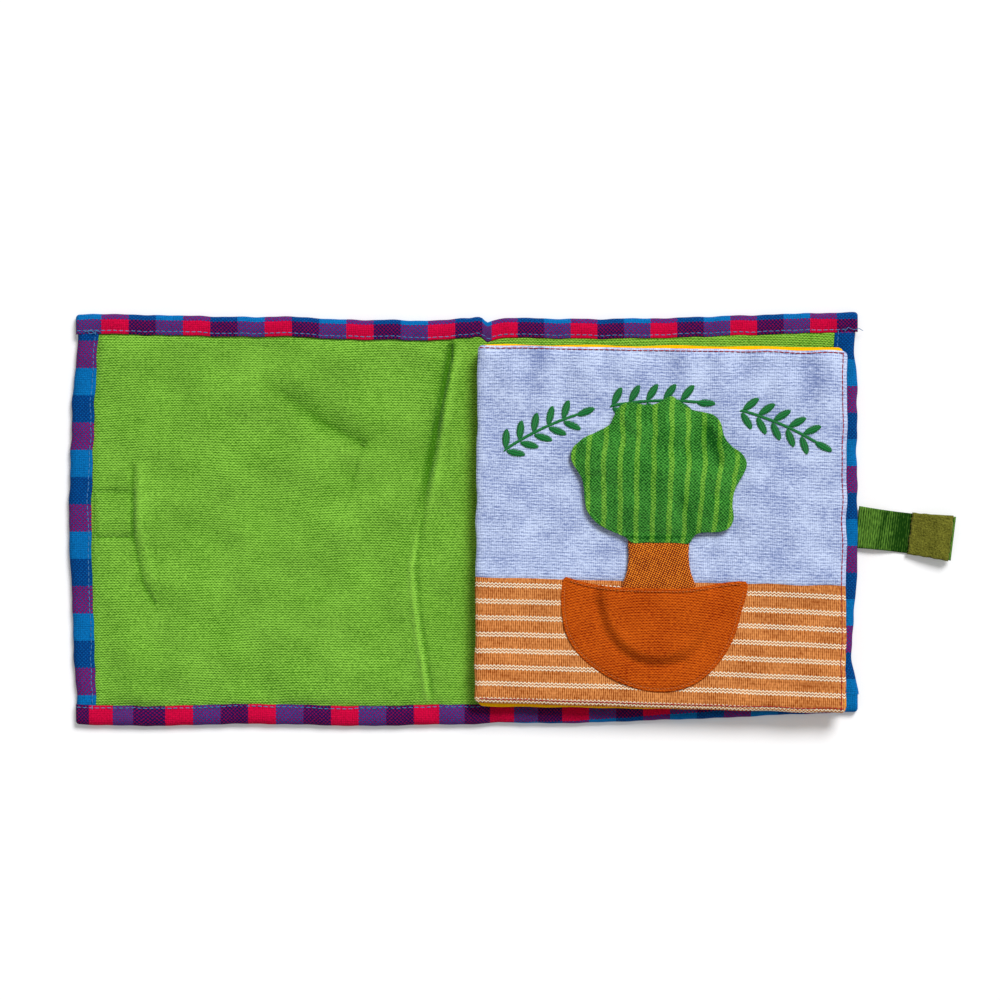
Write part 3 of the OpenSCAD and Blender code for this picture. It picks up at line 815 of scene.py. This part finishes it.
def on_strap(name, paint, l0, l1, w, low, high, round_by, ragged=0.0):
    """A layer on the strap's line from l0 to l1 mm, w mm wide, between two heights over it."""
    s, t = np.meshgrid(spread(l0, l1, 0.6, 0.5), spread(0, w, 0.7, 0.5))
    along = l0 + (l1 - l0) * s
    side = w * (t - 0.5)
    rim = np.minimum(np.minimum(along - l0, l1 - along), w / 2 - abs(side))
    edge = edge_round(rim, round_by)
    along = along + ragged * waves(along * 3, side * 3, 41, 4) * (1 - edge)
    frayed = ragged * 0.02 * waves(along, side, 42, 5) * (1 - edge)
    side = side * (1 + frayed + 0.09 * ((along - 20) / 26) ** 2)
    line = through(along, strap_line) * strap_root_z
    x = back_x + along * math.cos(strap_turn) + side * math.sin(strap_turn)
    y = strap_y - along * math.sin(strap_turn) + side * math.cos(strap_turn)
    middle = line + (low + high) / 2
    half = (high - low) / 2 * (0.12 + 0.88 * edge)
    rough = 0.12 * ragged * waves(along, side, 43, 1.6)
    form = Form()
    form.layer(x, y, middle + half + rough, middle - half, along, side)
    return form.make(name, paint)


strap = on_strap("closing_strap_ribbon", ribbon, -strap_tuck, strap_l, strap_w,
                 0.05, strap_t, 0.6)
loop_patch = on_strap("loop_patch", fuzz, strap_l - patch_l - 0.8, strap_l - 1.2, strap_w + 1.0,
                      strap_t + 0.05, strap_t + patch_t, 1.0, 0.4)
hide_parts("closing_strap")
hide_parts("strap_loop_patch")
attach(strap, "back_cover")
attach(loop_patch, "back_cover")

# Quilted leaves: four padded leaves of yellow cotton, sewn in at the right fold and
# lying on each other. The free edges have slipped down a little, and the second leaf
# shows along the top, under the bottom edge and at the right of the first.
leaf_z = 4.8
leaf_t = 2.6
leaf_corners = [
    [(2, -88), (183, -89), (183, 86), (3, 87.5)],
    [(2, -90), (184, -90), (184.2, 86.6), (3.2, 88)],
    [(2.2, -92.2), (185.7, -94.8), (184.4, 86.1), (3.6, 87.9)],
    [(0.5, -90.5), (185.25, -96), (186.1, 84.5), (2.2, 87.5)],
]

yellow = Cloth("yellow_cotton")
yellow_rows = yellow.ribs(yellow.v, 1.2) * 0.35 + yellow.ribs(yellow.u, 1.3) * 0.25
yellow_rows = yellow_rows + yellow.noise(1.5, 0.6) * 0.7
yellow.dress(yellow.mix(yellow_rows - 0.15, colour(255, 150, 0), colour(255, 208, 0)), yellow_rows, 0.25)


def on_leaf(s, t, corners, radius=2.6):
    """Place in mm on a leaf with those corners, from shares of its width and height, its
    corners rounded, and how far that place lies inside the leaf's edge."""
    bl, br, tr, tl = (np.array(c, float) for c in corners)
    wide, high = np.hypot(*(br - bl)), np.hypot(*(tl - bl))
    a, b = s * wide, t * high
    inset = np.minimum(np.minimum(a, wide - a), np.minimum(b, high - b))
    dx = np.clip(radius - a, 0, radius) - np.clip(radius - wide + a, 0, radius)
    dy = np.clip(radius - b, 0, radius) - np.clip(radius - high + b, 0, radius)
    s = s + (dx - dx * np.sqrt(1 - dy * dy / (2 * radius**2))) / wide
    t = t + (dy - dy * np.sqrt(1 - dx * dx / (2 * radius**2))) / high
    x, y = ((1 - s) * (1 - t) * bl[i] + s * (1 - t) * br[i] + s * t * tr[i] + (1 - s) * t * tl[i]
            for i in (0, 1))
    return x, y, inset


def wavy(x, y, number):
    """The same place once the leaf's outline has its own soft waves."""
    x = x + 0.25 * waves(y, 0 * y, 50 + number, 24)
    return x, y + 0.25 * waves(x, 0 * x, 60 + number, 26)


leaf_names = ["leaf_4", "leaf_3", "leaf_2", "leaf_1"]
top_leaf = 3
for number, (name, corners) in enumerate(zip(leaf_names, leaf_corners)):
    s, t = np.meshgrid(spread(0, 184, 2.6), spread(0, 178, 2.6))
    x, y, inset = on_leaf(s, t, corners)
    if number == top_leaf:
        x, y = x + (91 - x) * 0.011, y - y * 0.011
    x, y = wavy(x, y, number)
    soft = edge_round(inset, 4.5)
    middle = leaf_z + leaf_t * (number + 0.5)
    half = (leaf_t / 2 - 0.06) * (0.25 + 0.75 * soft)
    dimple = 0.1 * (1 + waves(x, y, 70 + number, 30)) * soft
    top_drop = 0.9 if number == top_leaf else 0.0
    form = Form()
    form.layer(x, y, middle + half - dimple - top_drop * soft, middle - half + dimple, x, y)
    leaf = form.make(name, yellow)
    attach(leaf, "leaves")
    if number == top_leaf:
        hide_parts("page_block")

# Face of the first leaf: pale blue chambray for the sky, with pulled slubs, and a rust
# striped cotton for the ground, joined by a seam and turned over the leaf's edge.
page = leaf_corners[top_leaf]
face_z = 15.45
seam_left, seam_right = -28, -33
seam_share = ((seam_left + 90.5) / 178, (seam_right + 96) / 179)


def top_pulls(x, y):
    """Upright folds of height 1, strongest at the page's top edge."""
    return waves(x, 0.2 * y, 86, 19) * np.exp(-np.clip(86 - y, 0, 200) / 26)


def face_height(x, y, inset):
    """Height of the page's face in mm: soft at its edge, drawn down along the seams."""
    seam_y = seam_left + (seam_right - seam_left) * x / 185
    soft = edge_round(inset, 3.2)
    stitch = np.exp(-(((inset - 2.1) / 0.8) ** 2)) * 0.28
    seam = np.exp(-(((y - seam_y) / 1.1) ** 2)) * 0.45
    rumple = np.clip(inset / 9, 0, 1) * (0.3 * waves(x, y, 81, 44) + 0.1 * waves(x, y, 82, 16))
    rumple = rumple + 0.75 * top_pulls(x, y) * np.clip(inset / 5, 0, 1)
    return face_z - 2.1 * (1 - soft) - stitch - seam + rumple


def on_face(s, t):
    """Place in mm on the page's face, from shares of its width and height."""
    x, y, inset = on_leaf(s, t, page)
    z = face_height(x, y, inset)
    return *wavy(x, y, top_leaf), z


def face_cloth(name, low, high, paint, cloth_v):
    """Part of the page's face between two lines, given as shares of the page's height."""
    s, t = np.meshgrid(spread(0, 185, 1.3), spread(0, 120, 1.2))
    from_t = low[0] + (low[1] - low[0]) * s
    to_t = high[0] + (high[1] - high[0]) * s
    x, y, z = on_face(s, from_t + (to_t - from_t) * t)
    form = Form()
    form.grid(x, y, z, x + 0.4 * waves(x, y, 83, 60), cloth_v(x, y))
    made = form.make(name, paint)
    # Painted light and shade: each upright fold is lighter on its side towards the lamp at the right and
    # darker on the other.
    paint_fold_shade(made, top_pulls(x + 2, y) - top_pulls(x - 2, y))
    return made


chambray = Cloth("sky_chambray", sheen=0.1)
drift = chambray.mottle(22, 6, 0.8)
sky_rows = chambray.ribs(chambray.v + drift, 1.6)
sky_columns = chambray.ribs(chambray.u, 0.93)
sky_height = sky_rows * 0.4 + sky_columns * 0.28 + chambray.mottle(3.2, 0.5, 1.9) + 0.23
sky_tone = sky_height + chambray.mottle(0.8, 0.9, 1.2, 1.0) + chambray.mottle(20, 11, 1.1) - 0.03
# Painted light and shade of the upright folds near the top edge, as stored with the mesh.
sky_tone = sky_tone - chambray.painted_fold_shade() * 0.18
sky_shade = chambray.mix(sky_tone, colour(114, 130, 180), colour(208, 222, 252))
chambray.dress(sky_shade, sky_height, 0.25)


def sky_v(x, y):
    return y + 0.022 * x + 0.5 * waves(x, y, 84, 80)


ground = Cloth("striped_ground_cloth")
stripe_pitch = 8.19
ground_columns = ground.ribs(ground.u + ground.mottle(6, 14, 0.5), 1.02)
ground_rows = ground.ribs(ground.v, 1.45)
ground_height = ground_columns * 0.62 + ground_rows * 0.14 + ground.mottle(0.9, 2.0, 1.5) + 0.12
ground_tone = ground_height + ground.mottle(16, 12, 0.7)
ground_shade = ground.mix(ground_tone, colour(136, 56, 0), colour(236, 156, 88))
zigzag = ground.u.sine(1.9) * 0.34
stripe_place = (ground.v + zigzag).math("FLOORED_MODULO", stripe_pitch) - stripe_pitch / 2
pair = (stripe_place.math("ABSOLUTE") - 0.68).math("ABSOLUTE")
stripe = ((0.4 - pair) * 5.0 + ground.mottle(1.0, 0.8, 1.6)).clamped()
striped = ground.mix(stripe * 0.9, ground_shade, colour(255, 244, 216))
ground.dress(striped, ground_height + stripe * 0.6, 0.25)


def ground_v(x, y):
    first = -31.5
    return y - first + 0.02 * x + 0.015 * x * x / 185 + stripe_pitch / 2 + 0.12 * waves(x, y, 85, 40)


sky_cloth = face_cloth("sky_cloth_sheet", seam_share, (1, 1), chambray, sky_v)
ground_cloth = face_cloth("ground_cloth_sheet", (0, 0), seam_share, ground, ground_v)
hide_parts("sky_cloth")
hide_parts("ground_cloth")
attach(sky_cloth, "leaves")
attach(ground_cloth, "leaves")

wine_thread = thread_paint("wine_thread", colour(112, 0, 14), colour(196, 34, 40))
margin_s, margin_t = 2.2 / 185, 2.2 / 179
way = np.linspace(0, 1, 90)
margin = [(0.02 + way * (0.98 - margin_s), margin_t + 0 * way),
          (1 - margin_s + 0 * way, margin_t + way * (1 - 2 * margin_t)),
          (0.01 + way * (0.985 - margin_s), 1 - margin_t * 0.55 + 0 * way)]
page_rows = [np.stack(on_face(a, b), -1) + (0, 0, 0.2) for a, b in margin]
page_seam = stitch("page_topstitch", page_rows, wine_thread, "leaf_cotton", 2.7, 2.75, 0.6, 0.55)
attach(page_seam, "leaves")

# Embroidery: three leaf sprigs in an arch over the tree, worked in thick satin stitch,
# each leaf across its rib and each stem in short slanting stitches.
sprig_middle = (96, -84)
sprig_r = 144
sprig_spans = [(-34, -18), (-11, 6), (15, 31)]
sprig_step = 3.2
sprig_leaf_l = 9
sprig_leaf_turn = 48
sprig_leaf_start = 1.35
sprig_z = 0.2

satin = thread_paint("embroidery_thread", colour(0, 60, 24), colour(6, 146, 62), 0.4)


def on_sprig(angle, away, side_turn, reach):
    """Place in mm on the page, so far from a point of the arch and turned from it."""
    a, b = math.radians(angle), math.radians(side_turn - angle)
    x = sprig_middle[0] + sprig_r * math.sin(a) + reach * math.cos(b)
    y = sprig_middle[1] + sprig_r * math.cos(a) + reach * math.sin(b)
    x, y = np.array([x, y]) + away
    return x, y, float(face_height(x, y, 20.0)) + sprig_z


leaf_ribs, stem_rows = [], []
for first, last in sprig_spans:
    pairs = round((last - first) / sprig_step)
    stem_rows.append([on_sprig(a, 0, 0, 0) for a in np.linspace(first, last, 20)])
    for pair in range(pairs):
        place = first + (last - first) * pair / pairs
        for side in (-1, 1):
            ends = sprig_leaf_start + np.linspace(0.2, sprig_leaf_l - 0.2, 6)
            leaf_ribs.append([on_sprig(place, 0, side * sprig_leaf_turn, r) for r in ends])
    leaf_ribs.append([on_sprig(last, 0, 0, r) for r in np.linspace(0.4, sprig_leaf_l, 6)])
sprig_leaves = stitch("sprig_leaves", leaf_ribs, satin, "embroidery_thread", 0.52, 4.3, 0.72, 0.9, 68, 1.0, 3)
sprig_stems = stitch("sprig_stems", stem_rows, satin, "embroidery_thread", 0.5, 2.3, 0.7, 0.8, 40, 0.0, 5)
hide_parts("embroidered_sprigs")
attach(sprig_leaves, "leaves")
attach(sprig_stems, "leaves")

# Pocket: a half-round pot of rust cotton with a hemmed mouth, sewn on round its curve
# and pushed up by the trunk's foot that stands in it.
pot_mouth = [(46.2, -27.7), (49, -28.6), (58, -31), (68, -32.5), (80, -33.2), (95, -33.5), (106, -33.4),
             (114, -32.4), (122, -31), (129, -30.2), (133, -29.9), (135.4, -30.1)]
pot_side = [(46.2, -27.7), (44.6, -28.9), (44, -32), (44, -46.5), (45.8, -55.5), (49.3, -62.5),
            (55.3, -69.5), (63.3, -75.5), (73.3, -80.7), (83.3, -84), (91.3, -85.2), (99.3, -84.7),
            (107.3, -82.5), (115.3, -77.7), (121.3, -71.7), (126.4, -64.5),
            (130.2, -56.5), (133.3, -45.5), (136.3, -34.5), (136.6, -31.8), (135.4, -30.1)]

rust = Cloth("pot_cotton_cloth")
rust_rows = rust.ribs(rust.v + rust.mottle(18, 6, 1.2), 1.36)
rust_dots = rust.u.sine(1.6) * rust.v.sine(1.6)
rust_height = rust_rows * 0.42 + rust_dots * 0.26 + rust.mottle(1.6, 0.7, 1.3) + 0.28
rust_tone = rust_height + rust.mottle(20, 16, 0.5)
rust.dress(rust.mix(rust_tone, colour(122, 22, 0), colour(222, 104, 20)), rust_height, 0.3)

pot_thick = 0.7


def smooth_path(points, count):
    """Points evenly along a smooth line through the given ones."""
    points = np.array(points, float)
    run = run_along(points)
    at = np.linspace(0, run[-1], count)
    xs = through(at, np.stack([run, points[:, 0]], -1))
    ys = through(at, np.stack([run, points[:, 1]], -1))
    return np.stack([xs, ys], -1)


def to_line(x, y, line):
    """Distance from places to the nearest of a line's points."""
    return np.min(np.hypot(line[:, 0] - x[..., None], line[:, 1] - y[..., None]), axis=-1)


def pot_height(x, y, inset, mouth):
    """Height of the pocket's face in mm: down at its sewn side, up over the trunk."""
    foot = np.clip(1.02 - np.hypot((x - 91.5) / 31, (y + 38) / 35), 0, 0.22) / 0.22
    foot = foot * foot * (3 - 2 * foot)
    sewn = edge_round(inset, 2.6)
    stitch = np.exp(-(((inset - 1.7) / 0.7) ** 2)) * 0.45
    hem = np.exp(-(((mouth - 2.4) / 0.7) ** 2)) * 0.25 - 0.25 * np.exp(-(((mouth - 1.1) / 0.8) ** 2))
    valley = near(x, y, [(62, -42), (65, -52), (71, -62), (80, -69), (92, -72), (104, -70)], 2.6) * 0.8
    rumple = 0.16 * waves(x, y, 91, 22) * np.clip(inset / 6, 0, 1)
    return face_z + 0.35 + 0.75 * sewn + 3.2 * foot - stitch - hem * sewn - valley * sewn + rumple


s, t = np.meshgrid(spread(0, 93, 0.9, 0.2), spread(0, 54, 0.9, 0.4))
mouth_line = smooth_path(pot_mouth, s.shape[1])
side_line = smooth_path(pot_side, s.shape[1])
x = mouth_line[None, :, 0] * t + side_line[None, :, 0] * (1 - t)
y = mouth_line[None, :, 1] * t + side_line[None, :, 1] * (1 - t)
pot_inset = to_line(x, y, side_line)
pot_to_mouth = (through(x, pot_mouth) - y).clip(0)
form = Form()
pot_z = pot_height(x, y, pot_inset, pot_to_mouth)
upper = form.grid(x, y, pot_z, x, y + 0.012 * (x - 91) ** 2 / 4)
lower = form.grid(x, y, pot_z - pot_thick * (0.2 + 0.8 * edge_round(pot_inset, 1.5)), x, y, flip=True)
form.wall(upper, lower)
pot = form.make("pot_pocket_cloth", rust)
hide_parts("pot_pocket")
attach(pot, "leaves")

rust_thread = thread_paint("rust_thread", colour(150, 50, 4), colour(252, 156, 84))


def pot_rows():
    """The rows round the pocket's curve and along its mouth, sunk a little in the cloth."""
    curve = smooth_path(pot_side, 160)
    ahead = np.gradient(curve, axis=0)
    ahead = ahead / np.hypot(*ahead.T)[:, None]
    curve = curve + np.stack([-ahead[:, 1], ahead[:, 0]], -1) * 1.7
    curve = curve[6:-6]
    mouth = smooth_path(pot_mouth, 160)[5:-5] + (0, -1.5)
    rows = []
    for row in (curve, mouth):
        x, y = row.T
        z = pot_height(x, y, to_line(x, y, side_line), through(x, pot_mouth) - y)
        rows.append(np.stack([x, y, z + 0.28], -1))
    return rows


pot_seam = stitch("pocket_topstitch", pot_rows(), rust_thread, "pot_cotton", 1.7, 1.25, 0.4, 0.42)
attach(pot_seam, "leaves")

# Stuffed tree: a trunk of shot brown cotton with yellow flecks, whose round foot stands
# in the pocket, and a crown of green cotton with lighter stripes. Each is two cloths
# sewn together and turned, so it is full inside and drawn in at its seam.
trunk_sides = [(-68, 7), (-66, 13), (-60, 19), (-52, 21.5), (-41, 21.3), (-33, 18.7), (-25, 15.9), (-17, 15),
               (-10, 15.1), (-7.5, 14.5)]
trunk_x = 92
trunk_foot_y, trunk_l = -68, 60.5
trunk_top_z, trunk_back_z = 17.2, 17.0

shot = Cloth("trunk_cotton_cloth", sheen=0.2)
lean_u, lean_v = shot.u + shot.v * 0.45, shot.v - shot.u * 0.3
fleck = lean_u.sine(1.6) * lean_v.sine(1.6)
fleck_tone = fleck * 1.4 + 0.26 + shot.mottle(1.2, 0.8, 2.4, 1.0) + shot.mottle(7, 9, 0.9)
shot.dress(shot.mix(fleck_tone, colour(104, 12, 0), colour(248, 142, 34)), fleck, 0.25)

s, t = np.meshgrid(spread(0, 40, 0.9, 0.4), spread(0, 60, 0.9, 0.3))
y = trunk_foot_y + trunk_l * t
half_width = through(y, trunk_sides)
x = trunk_x + (2 * s - 1) * half_width + 0.6 * (y + 10) / 25 * -0.5
rim = np.minimum(half_width - abs(x - trunk_x), (y - trunk_foot_y) * 0.8)
soft = edge_round(rim, 3.5)
form = Form()
in_pocket = np.clip((-34 - y) / 8, 0, 1)
trunk_face = trunk_top_z + (1.3 - 0.5 * in_pocket) * soft + 0.15 * waves(x, y, 95, 12) * soft
trunk_face = trunk_face - 1.5 * np.clip((y + 11.5) / 1.5, 0, 1)
form.layer(x, y, trunk_face, np.minimum(trunk_face - 0.3, trunk_back_z) - 0.9 * soft, x, y)
trunk = form.make("tree_trunk_cloth", shot)
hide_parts("tree_trunk")
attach(trunk, "leaves")

crown_line = [(99.2, 62.4), (103.4, 59), (108.4, 55.6), (115.2, 54.2), (120.8, 52), (123.4, 48.2),
              (124.8, 42.5), (128.2, 37.6), (133.4, 33.8), (136.1, 28.8), (134.8, 24), (131.6, 18.5),
              (129.3, 12.5), (129.1, 6.5), (129.5, 1), (127.4, -3.4), (122.8, -5.4), (117, -5.8),
              (111.6, -6.3), (109.4, -8), (108, -10.8),
              (100, -10.9), (86, -10.8), (77.8, -10.5), (75.6, -8.2), (72.8, -7), (66, -4), (60, 0.2),
              (56.2, 5.6), (55.1, 11), (54.7, 16.5), (53.5, 21.8), (50.4, 26.6), (48.3, 31.6), (49.4, 36.6),
              (53.4, 40.1), (58.4, 43.2), (63.8, 45.8), (68.1, 48.6), (69.8, 52.6), (72.4, 57), (77, 59.1),
              (83, 58.4), (88.3, 58), (93.2, 59.6), (96.2, 61.7)]
crown_middle = np.array([91.0, 26.0])
crown_low, crown_rim, crown_high = 16.25, 18.3, 23.9
puff_w = 13

leafy = Cloth("crown_cotton_cloth", sheen=0.2)
knots = leafy.u.sine(1.7) * leafy.v.sine(1.64) * 0.5 + 0.5
leafy_height = knots * 1.1 + leafy.mottle(1.3, 0.8, 2.2) - 0.12
# Painted shade: the crown is darker in its creases, as stored with its mesh.
leafy_tone = leafy_height + leafy.mottle(12, 16, 0.8) + 0.03 - leafy.painted_fold_shade() * 0.4
band_pitch = 8.04
band_place = (leafy.u - 57.7 + band_pitch / 2).math("FLOORED_MODULO", band_pitch) - band_pitch / 2
band = ((1.2 - band_place.math("ABSOLUTE")) * 2.2 + 0.5 + leafy.mottle(1.0, 1.6, 2.0)).clamped()
deep_green = leafy.mix(leafy_tone, colour(0, 72, 6), colour(78, 164, 60))
light_green = leafy.mix(leafy_tone, colour(50, 122, 6), colour(142, 200, 72))
leafy.dress(leafy.mix(band * 0.82, deep_green, light_green), leafy_height, 0.3)

ring = 1 - (1 - np.linspace(0, 1, 19)) ** 1.5
loop = crown_line + [crown_line[0]]
rim_line = smooth_path(loop, 153)
out = rim_line - crown_middle
x = crown_middle[0] + out[None, :, 0] * ring[:, None]
y = crown_middle[1] + out[None, :, 1] * ring[:, None]
soft = edge_round((1 - ring[:, None]) * np.hypot(*out.T)[None, :], puff_w)
fan = 0.1 * np.clip((x - 100) / 30, 0, 1) * np.clip(26.5 - y, 0, 99)
crown_u = x - 0.03 * (y - 26.5) + fan + 0.3 * waves(x, y, 99, 24)
form = Form()
form.grid(x, y, crown_rim + 2.2 * soft, crown_u, y, flip=True)
form.grid(x, y, crown_rim - 1.2 * soft, crown_u, y)
crown = form.make("tree_crown_cloth", leafy)

sim_scale = 8
sim_frames = 20
sim_pressure = 4
sim_quality = 4
sim_shrink = -0.06
weld_gap = 0.02
seam_reach = 0.4


def settle(piece, modifier):
    """Gives a piece the mesh that its modifier makes, and takes the modifier off."""
    seen_by = bpy.context.evaluated_depsgraph_get()
    settled = bpy.data.meshes.new_from_object(piece.evaluated_get(seen_by))
    piece.modifiers.remove(modifier)
    piece.data = settled


def stuff(piece, seam, low, middle, high):
    """Sews a piece's two cloths together along the seam and fills it: a short run of the
    cloth simulation at a larger scale, its seam held, then capped to a height in mm."""
    sewn = bmesh.new()
    sewn.from_mesh(piece.data)
    bmesh.ops.remove_doubles(sewn, verts=sewn.verts, dist=weld_gap * MM)
    bmesh.ops.scale(sewn, vec=(sim_scale,) * 3, verts=sewn.verts)
    sewn.to_mesh(piece.data)
    sewn.free()
    points = np.array([v.co for v in piece.data.vertices]) / (sim_scale * MM)
    away = to_line(points[:, 0], points[:, 1], seam)
    held = piece.vertex_groups.new(name="seam")
    held.add(np.flatnonzero(away < seam_reach).tolist(), 1.0, "REPLACE")
    filling = piece.modifiers.new("filling", "CLOTH")
    filling.settings.quality = sim_quality
    filling.settings.use_pressure = True
    filling.settings.uniform_pressure_force = sim_pressure
    filling.settings.vertex_group_mass = "seam"
    filling.settings.shrink_min = sim_shrink
    filling.settings.effector_weights.gravity = 0
    for frame_number in range(1, sim_frames + 1):
        scene.frame_set(frame_number)
    settle(piece, filling)
    piece.vertex_groups.clear()
    scene.frame_set(1)
    points = np.array([v.co for v in piece.data.vertices]) / (sim_scale * MM)
    up = points[:, 2] - middle
    up = np.where(up > 0, up * (high - middle) / up.max(), up * (middle - low) / -up.min())
    points[:, 2] = middle + up
    piece.data.vertices.foreach_set("co", (points * MM).ravel())
    rounding = piece.modifiers.new("rounding", "SUBSURF")
    rounding.levels = rounding.render_levels = 1
    settle(piece, rounding)
    return np.array([v.co for v in piece.data.vertices]) / MM


crown_points = stuff(crown, rim_line, crown_low, crown_rim, crown_high - 0.4)
x, y, z = crown_points.T
soft = edge_round(to_line(x, y, rim_line), puff_w)
neck = near(x, y, [(76, -8.6), (109, -8.8)], 2.8) * 2.2
neck = neck + near(x, y, [(73, -7.6), (80, -8.4), (100, -8.6), (110, -7.4)], 1.0) * 1.6
dent = near(x, y, [(116, 46), (120.5, 38), (122, 28)], 2.4) * 2.4 + near(x, y, [(88, 38), (112, 34)], 5) * 0.8
notches = [[(70, 50), (80, 42)], [(125, 41), (116, 36)], [(129, 10), (118, 12)], [(54, 20), (64, 22)],
           [(104, 58), (100, 46)]]
pulled_in = sum(near(x, y, path, 2.6) for path in notches) * 0.7
stuffed = 0.3 * waves(x, y, 97, 26) + 0.12 * waves(x, y, 98, 9)
lowered = np.maximum(z + soft * (stuffed - dent - pulled_in - neck), np.minimum(z, crown_rim + 0.3))
crown_points[:, 2] = np.where(z > crown_rim, lowered, z)
# Painted shade for the crown's paint: darker along the neck, in a fold at the lower right, in the dent and at
# the notches.
crown_crease_shade = near(x, y, [(104, 12), (107.5, 2), (109, -6)], 2.2) * 0.7
crown_crease_shade = crown_crease_shade + near(x, y, [(76, -7.8), (88, -8.2), (104, -7.8)], 0.8) * 1.3
crown_crease_shade = crown_crease_shade + near(x, y, [(117, 44), (121, 32)], 3.5) * 0.5
paint_fold_shade(crown, crown_crease_shade + dent * 0.25 + pulled_in * 0.3)
crown.data.vertices.foreach_set("co", (crown_points * MM).ravel())
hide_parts("tree_crown")
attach(crown, "leaves")

# The outer cloth, the lining, the wadding and the topstitching of each half have their
# placing baked into their meshes.
for piece in (cloth_left, lining_left, wadding_left, topstitch_left):
    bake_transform(piece)
for piece in (cloth_right, lining_right, wadding_right, topstitch_right):
    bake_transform(piece)
